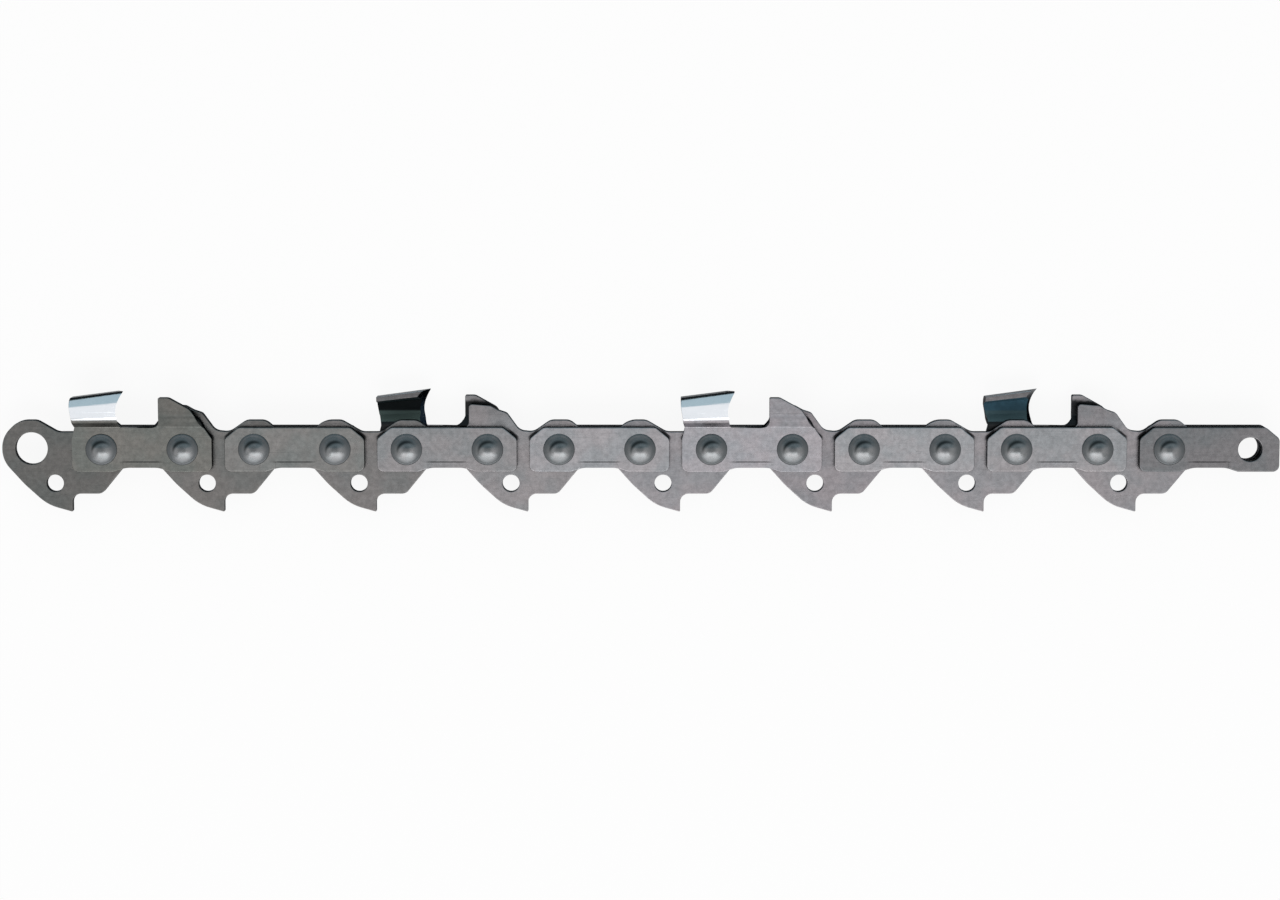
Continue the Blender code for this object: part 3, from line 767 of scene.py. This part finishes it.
cutter_blank = coined(blanked("cutter", cutter_outline, plate_holes, PLATE_THICK, CUTTER_ROLL))
bm = bmesh.new()
bm.from_mesh(cutter_blank)
for face in bm.faces:
    if face.material_index == OUTER and abs(face.normal.z) < 0.3:
        face.material_index = SHEARED
for line in (tooth, gauge):
    for at, _, _, _ in line[:-1]:
        everything = [*bm.verts, *bm.edges, *bm.faces]
        bmesh.ops.bisect_plane(bm, geom=everything, plane_co=(0, at, 0), plane_no=(0, 1, 0))
for face in bm.faces:
    spot = face.calc_center_median()
    if face.material_index == INNER and spot.y > 3.0 and spot.x < TOOTH_TO_GAUGE:
        face.material_index = SKIN
for vertex in bm.verts:
    x, length, depth = vertex.co
    if x > TOOTH_TO_GAUGE:
        vertex.co.y, vertex.co.z = folded(gauge, length, depth, 0.0)
    else:
        y, z = folded(tooth, length, depth, TOP_THINNING)
        vertex.co.y, vertex.co.z = relieved(x, y, z)
bmesh.ops.triangulate(bm, faces=bm.faces)
bm.to_mesh(cutter_blank)
bm.free()

# the grinding wheel: round from its top down to the gullet's floor, then straight ahead
wheel_floor = GULLET - HOLLOW_UNDERCUT - HOLLOW_HEIGHT
swing = math.pi / 2 + math.asin(-wheel_floor / HOLLOW_RADIUS)
wheel_angles = [math.pi / 2 + swing * i / 40 for i in range(41)]
wheel_profile = [(HOLLOW_RADIUS * math.cos(a), HOLLOW_RADIUS * math.sin(a)) for a in wheel_angles]
wheel_profile += [(wheel_profile[-1][0] + HOLLOW_RUN, wheel_floor), (0, wheel_floor + 1.20)]
wheel = bar_of("grinding wheel", wheel_profile, -KERF, KERF, GROUND)
wheel_middle = Vector(
    (HOLLOW_X + HOLLOW_RADIUS / math.cos(GRIND_TURN), HOLLOW_HEIGHT, KERF / 2 - PLATE_MIDDLE)
)
wheel_place = Matrix.Translation(wheel_middle) @ Matrix.Rotation(GRIND_TURN, 4, "Y")
wheel.matrix_world = wheel_place
right_cutter = cut(cutter_blank, [wheel])


def chrome(name):
    """Hard chrome over the tooth's outside, thinning to tumbled steel over the jog. The depth gauge
    has none: it stays tumbled steel, rougher where it was folded, and painted darker there as
    painted shade."""
    material = plate_steel(name)
    tree = material.node_tree
    shader = tree.nodes["Principled BSDF"]
    steel_colour = shader.inputs["Base Color"].links[0].from_socket
    steel_rough = shader.inputs["Roughness"].links[0].from_socket
    at_place, place, _, _ = on_piece(tree)
    at = add(tree, "ShaderNodeSeparateXYZ", Vector=at_place)
    high = spread(tree, at.outputs["Y"], CHROME_FOOT, CHROME_FULL)
    rear = spread(tree, at.outputs["X"], 4.2, 4.8, 1.0, 0.0)
    plated = reckon(tree, "MULTIPLY", high, rear)
    veil = add(tree, "ShaderNodeTexNoise", Vector=place, Scale=0.9, Detail=4.0)
    bright = blend_colours(tree, veil.outputs["Fac"], (0.73, 0.77, 0.81, 1), (0.82, 0.84, 0.88, 1))
    ahead = spread(tree, at.outputs["X"], 5.2, 6.2)
    raised = reckon(tree, "MULTIPLY", ahead, spread(tree, at.outputs["Y"], 2.6, 2.9))
    level = spread(tree, at.outputs["Y"], 3.7, 4.3, 0.80, 1.0)
    # painted shade: the gauge's fold drawn darker
    painted_fold_shade = spread(tree, raised, 0, 1, 1.0, level, soft=False)
    steel_colour = scaled(tree, steel_colour, painted_fold_shade)
    tree.links.new(blend_colours(tree, plated, steel_colour, bright), shader.inputs["Base Color"])
    rolled = reckon(tree, "MULTIPLY", raised, spread(tree, at.outputs["Y"], 4.0, 4.5, 0.34, 0.0))
    steel_rough = reckon(tree, "ADD", steel_rough, rolled)
    gloss = add(tree, "ShaderNodeTexNoise", Vector=place, Scale=5.0, Detail=5.0)
    sheen = spread(tree, gloss.outputs["Fac"], 0.3, 0.7, 0.12, 0.20)
    rough = tree.nodes.new("ShaderNodeMix")
    # a mixing node numbers its share 0 and its two plain values 2 and 3
    for number, value in ((0, plated), (2, steel_rough), (3, sheen)):
        plug(tree, rough.inputs[number], value)
    tree.links.new(rough.outputs[0], shader.inputs["Roughness"])
    return material


def ground_steel(name):
    """Ground steel with the fine parallel lines of the wheel, painted dark as a painted reflection
    of dark surroundings.
    """
    material = bpy.data.materials.new(name)
    material.use_nodes = True
    tree = material.node_tree
    shader = tree.nodes["Principled BSDF"]
    _, place, _, _ = on_piece(tree)
    lines = scratches(tree, place, math.radians(90), 30.0)
    # painted reflection: the ground face coloured dark, with a dark tint at grazing angles
    colour = blend_colours(tree, lines, (0.07, 0.08, 0.09, 1), (0.16, 0.17, 0.18, 1))
    tree.links.new(colour, shader.inputs["Base Color"])
    tree.links.new(spread(tree, lines, 0, 1, 0.20, 0.34), shader.inputs["Roughness"])
    shader.inputs["Metallic"].default_value = 1.0
    shader.inputs["Specular Tint"].default_value = (0.12, 0.13, 0.14, 1)
    return material


def heat_skin(name, face, stain, rubbed_and_painted_light):
    """The dull skin that hardening leaves inside the tooth, painted paler at the fold's root as
    painted light.
    """
    material = tumbled_steel(name, face, stain, (0.030, 0.045, 0.050), 0.50)
    tree = material.node_tree
    shader = tree.nodes["Principled BSDF"]
    skin = shader.inputs["Base Color"].links[0].from_socket
    place, _, _, _ = on_piece(tree)
    at = add(tree, "ShaderNodeSeparateXYZ", Vector=place)
    # painted light: the skin drawn paler at the fold's root
    root = spread(tree, at.outputs["Y"], 4.30, 4.60, 1.0, 0.0)
    tree.links.new(blend_colours(tree, root, skin, (*rubbed_and_painted_light, 1)), shader.inputs["Base Color"])
    shader.inputs["Metallic"].default_value = 0.0
    shader.inputs["Specular IOR Level"].default_value = 0.06
    return material


def sheared_edge(name, steel):
    """A darker copy of the steel for the blank's sheared edges, which tumbling hardly reaches."""
    material = steel.copy()
    material.name = name
    tree = material.node_tree
    shader = tree.nodes["Principled BSDF"]
    clean = shader.inputs["Base Color"].links[0].from_socket
    darkened = blend_colours(tree, 1.0, clean, (0.56, 0.57, 0.57, 1), "MULTIPLY")
    tree.links.new(darkened, shader.inputs["Base Color"])
    return material


blued_skin = heat_skin(
    "blued inner skin", (0.16, 0.40, 0.54), (0.12, 0.29, 0.39), (0.055, 0.100, 0.115)
)
sooty_skin = heat_skin(
    "sooty inner skin", (0.014, 0.022, 0.025), (0.020, 0.030, 0.032), (0.060, 0.090, 0.085)
)
cutter_finishes = {
    OUTER: chrome("chromed cutter"),
    INNER: inner_steel,
    GROUND: ground_steel("ground edge"),
    SKIN: blued_skin,
    SHEARED: sheared_edge("sheared edge", strap_steel),
}
for number in sorted(cutter_finishes):
    right_cutter.materials.append(cutter_finishes[number])
left_cutter = smooth(other_hand(right_cutter, "left_cutter"), 30)
smooth(right_cutter, 30)
for pair, side, mesh, up in (
    (1, "right", right_cutter, 1),
    (5, "right", right_cutter, 1),
    (3, "left", left_cutter, -1),
    (7, "left", left_cutter, -1),
):
    node = f"{side}_cutter_{pair}"
    place = rivet_point(2 * pair - 1) + Vector((0, 0, up * PLATE_MIDDLE * MM))
    shade = PLATE_SHADES_WITH_PAINTED_LIGHT[pair - 1]
    cutter = lay(f"{node}_steel", mesh, place, f"plates_{pair}", node, shade)
    if pair == 3:
        # this one came out of the furnace sooty, the other left-hand one blued
        cutter.material_slots[SKIN].link = "OBJECT"
        cutter.material_slots[SKIN].material = sooty_skin

# Rivets: turned from bar with a wide hub for the drive links, then spun over into low domes on both
# sides. The spinning polishes the dome; a dark ring round its foot is painted shade, and a darker
# middle and a black crescent beside the crown are painted reflection.
HUB = 3.85
SHANK = 2.89
HUB_END = 0.59
SEAT = 1.78
HEAD = 1.925
BRIM = 0.15
CROWN = 0.42
# where the painted-reflection crescent on each head is centred
PAINTED_CRESCENT_CENTRE = (0.36, -0.71, 0)


def head_height(radius_share):
    """How high the spun head stands at a share of its radius: a low crown in a flat brim."""
    return BRIM + CROWN * (1 + math.cos(math.pi * radius_share)) / 2


shares = [1 - i / 18 for i in range(19)]
upper = [
    (HUB / 2, HUB_END - 0.08),
    (HUB / 2 - 0.08, HUB_END),
    (SHANK / 2, HUB_END),
    (SHANK / 2, SEAT),
    (HEAD - 0.03, SEAT),
    (HEAD, SEAT + 0.05),
    (HEAD - 0.03, SEAT + 0.11),
]
upper += [(HEAD * s, SEAT + head_height(s)) for s in shares[1:]]
lower = [(radius, -z) for radius, z in reversed(upper)]
bm = bmesh.new()
profile = [bm.verts.new((radius, 0, z)) for radius, z in lower + upper]
edges = [bm.edges.new(ends) for ends in zip(profile, profile[1:])]
about = {"cent": (0, 0, 0), "axis": (0, 0, 1), "angle": 2 * math.pi}
bmesh.ops.spin(bm, geom=profile + edges, steps=48, **about)
bmesh.ops.remove_doubles(bm, verts=bm.verts, dist=0.001)
bmesh.ops.recalc_face_normals(bm, faces=bm.faces)
rivet_mesh = bpy.data.meshes.new("rivet")
bm.to_mesh(rivet_mesh)
bm.free()
smooth(rivet_mesh, 50)


def far_from(tree, place, centre):
    """How far a place lies from a centre."""
    measured = tree.nodes.new("ShaderNodeVectorMath")
    measured.operation = "DISTANCE"
    for socket, value in zip(measured.inputs, (place, centre)):
        plug(tree, socket, value)
    return measured.outputs["Value"]


def spun_steel(name):
    """Spun steel: polished over the dome, with faint rings, a dark ring of painted shade where it
    meets the plate, fainter on the teeth side, a middle darkened as painted reflection, and a black
    crescent of painted reflection beside the crown."""
    material = bpy.data.materials.new(name)
    material.use_nodes = True
    tree = material.node_tree
    shader = tree.nodes["Principled BSDF"]
    at_place, place, _, _ = on_piece(tree)
    at = add(tree, "ShaderNodeSeparateXYZ", Vector=at_place)
    flat_place = add(tree, "ShaderNodeCombineXYZ", X=at.outputs["X"], Y=at.outputs["Y"]).outputs[0]
    out = far_from(tree, flat_place, (0, 0, 0))
    # painted shade: a dark ring round the dome's foot, fainter on the teeth side
    ring = spread(tree, out, 0.75, 1.75, 0.0, 0.76)
    ring = reckon(tree, "MULTIPLY", ring, spread(tree, at.outputs["Y"], 0.9, 1.7, 1.0, 0.45))
    mottle = add(tree, "ShaderNodeTexNoise", Vector=place, Scale=1.6, Detail=5.0, Roughness=0.6)
    mottled = spread(tree, mottle.outputs["Fac"], 0.3, 0.7)
    polished = blend_colours(tree, mottled, (0.175, 0.184, 0.189, 1), (0.216, 0.216, 0.221, 1))
    # painted reflection: the middle of the dome drawn darker
    middle_of_dome = spread(tree, out, 0.20, 0.70, 0.80, 0.0)
    painted_dark_middle = blend_colours(tree, middle_of_dome, polished, (0.105, 0.112, 0.116, 1))
    colour = blend_colours(tree, ring, painted_dark_middle, (0.060, 0.066, 0.070, 1))
    # painted reflection: a black crescent beside the crown, the same on every head
    beyond = spread(tree, far_from(tree, flat_place, PAINTED_CRESCENT_CENTRE), 1.30, 1.70)
    within = spread(tree, out, 0.95, 1.35, 0.92, 0.0)
    painted_shade_smear = reckon(tree, "MULTIPLY", beyond, within)
    colour = blend_colours(tree, painted_shade_smear, colour, (0.016, 0.020, 0.021, 1))
    tree.links.new(colour, shader.inputs["Base Color"])
    turned = reckon(tree, "SINE", reckon(tree, "MULTIPLY", out, 46.0))
    rough = spread(tree, mottled, 0, 1, 0.20, 0.30)
    rough = reckon(tree, "ADD", rough, reckon(tree, "MULTIPLY", ring, 0.12))
    tree.links.new(rough, shader.inputs["Roughness"])
    height = reckon(tree, "ADD", reckon(tree, "MULTIPLY", turned, 0.25), mottle.outputs["Fac"])
    bump = add(tree, "ShaderNodeBump", Height=height, Strength=0.25, Distance=0.010 * MM)
    tree.links.new(bump.outputs["Normal"], shader.inputs["Normal"])
    shader.inputs["Metallic"].default_value = 1.0
    return material


rivet_mesh.materials.append(spun_steel("rivet steel"))
for number in range(1, 16):
    lay(
        f"rivet_{number}_steel",
        rivet_mesh,
        rivet_point(number),
        f"plates_{(number + 1) // 2}",
        f"rivet_{number}",
        (1.0, 1.0, 1.0),
    )

# The studio: a white table top, an even white surround, one broad lamp over the tang side of
# the chain, and a curved grey card on the teeth side, with black felt at its foot. Only the
# reflections in the domes and folds show the card.
TABLE_REACH = 2.0
CARD_HALF_WIDTH = 0.8
CARD_REACH = 0.40
CARD_LIFT = 0.00002
FELT_START = 0.0078
FELT_END = 0.020
LAMP_SIZE = (0.80, 0.26)
LAMP_ENERGY = 1.55
LAMP_PLACE = Vector((0.0, -0.41, 0.58))


def seen_directly(tree):
    """One for rays that see a thing itself or its reflection, nought for rays of its light."""
    ray = tree.nodes.new("ShaderNodeLightPath")
    seen = reckon(tree, "MAXIMUM", ray.outputs["Is Camera Ray"], ray.outputs["Is Glossy Ray"])
    return reckon(tree, "MAXIMUM", seen, ray.outputs["Is Transmission Ray"])


table = bpy.data.meshes.new("table_top")
table_corners = [(-1, -1), (1, -1), (1, 1), (-1, 1)]
table_corners = [(TABLE_REACH * x, TABLE_REACH * y, 0) for x, y in table_corners]
table.from_pydata(table_corners, [], [(0, 1, 2, 3)])
table_top = bpy.data.objects.new("table_top", table)
bpy.context.scene.collection.objects.link(table_top)
paper = bpy.data.materials.new("white paper")
paper.use_nodes = True
tree = paper.node_tree
sheet_shader = tree.nodes["Principled BSDF"]
sheet_shader.inputs["Base Color"].default_value = (0.86, 0.86, 0.86, 1)
sheet_shader.inputs["Roughness"].default_value = 0.9
glow = add(tree, "ShaderNodeEmission", Color=(1, 1, 1, 1), Strength=1.0)
white_share = reckon(tree, "MULTIPLY", seen_directly(tree), 0.90)
mixed = add(tree, "ShaderNodeMixShader", Fac=white_share)
tree.links.new(sheet_shader.outputs[0], mixed.inputs[1])
tree.links.new(glow.outputs[0], mixed.inputs[2])
tree.links.new(mixed.outputs[0], tree.nodes["Material Output"].inputs["Surface"])
table.materials.append(paper)

card_mesh = bpy.data.meshes.new("dark_card")
lifts = [math.radians(6 + 6.5 * i) for i in range(13)]
across = [(reach, CARD_LIFT) for reach in (FELT_START, FELT_END, CARD_REACH)]
across += [(CARD_REACH * math.cos(a), CARD_REACH * math.sin(a)) for a in lifts]
points = [(x, y, z) for y, z in across for x in (-CARD_HALF_WIDTH, CARD_HALF_WIDTH)]
quads = [(2 * i, 2 * i + 1, 2 * i + 3, 2 * i + 2) for i in range(len(across) - 1)]
card_mesh.from_pydata(points, [], quads)
card = bpy.data.objects.new("dark_card", card_mesh)
bpy.context.scene.collection.objects.link(card)
for name, tone in (("black felt", (0.010, 0.014, 0.015)), ("grey card", (0.46, 0.58, 0.63))):
    cloth = bpy.data.materials.new(name)
    cloth.use_nodes = True
    tree = cloth.node_tree
    shown = add(tree, "ShaderNodeEmission", Color=(*tone, 1), Strength=1.0)
    tree.links.new(shown.outputs[0], tree.nodes["Material Output"].inputs["Surface"])
    card_mesh.materials.append(cloth)
for quad in card_mesh.polygons:
    # the felt is the card's first strip
    quad.material_index = 0 if quad.index == 0 else 1
card.visible_camera = False
card.visible_diffuse = False
card.visible_shadow = False

lamp = bpy.data.objects.new("broad_lamp", bpy.data.lights.new("broad_lamp", "AREA"))
lamp.data.shape = "RECTANGLE"
lamp.data.size, lamp.data.size_y = LAMP_SIZE
lamp.data.energy = LAMP_ENERGY
lamp.location = LAMP_PLACE
lamp.rotation_euler = (-LAMP_PLACE).to_track_quat("-Z", "Y").to_euler()
bpy.context.scene.collection.objects.link(lamp)

world = bpy.data.worlds.new("white surround")
bpy.context.scene.world = world
world.use_nodes = True
tree = world.node_tree
room = tree.nodes["Background"]
room.inputs["Color"].default_value = (1, 1, 1, 1)
room.inputs["Strength"].default_value = 0.75
white = add(tree, "ShaderNodeBackground", Color=(1, 1, 1, 1), Strength=1.0)
mixed = add(tree, "ShaderNodeMixShader", Fac=seen_directly(tree))
tree.links.new(room.outputs[0], mixed.inputs[1])
tree.links.new(white.outputs[0], mixed.inputs[2])
tree.links.new(mixed.outputs[0], tree.nodes["World Output"].inputs["Surface"])

bpy.context.scene.view_settings.view_transform = "Standard"
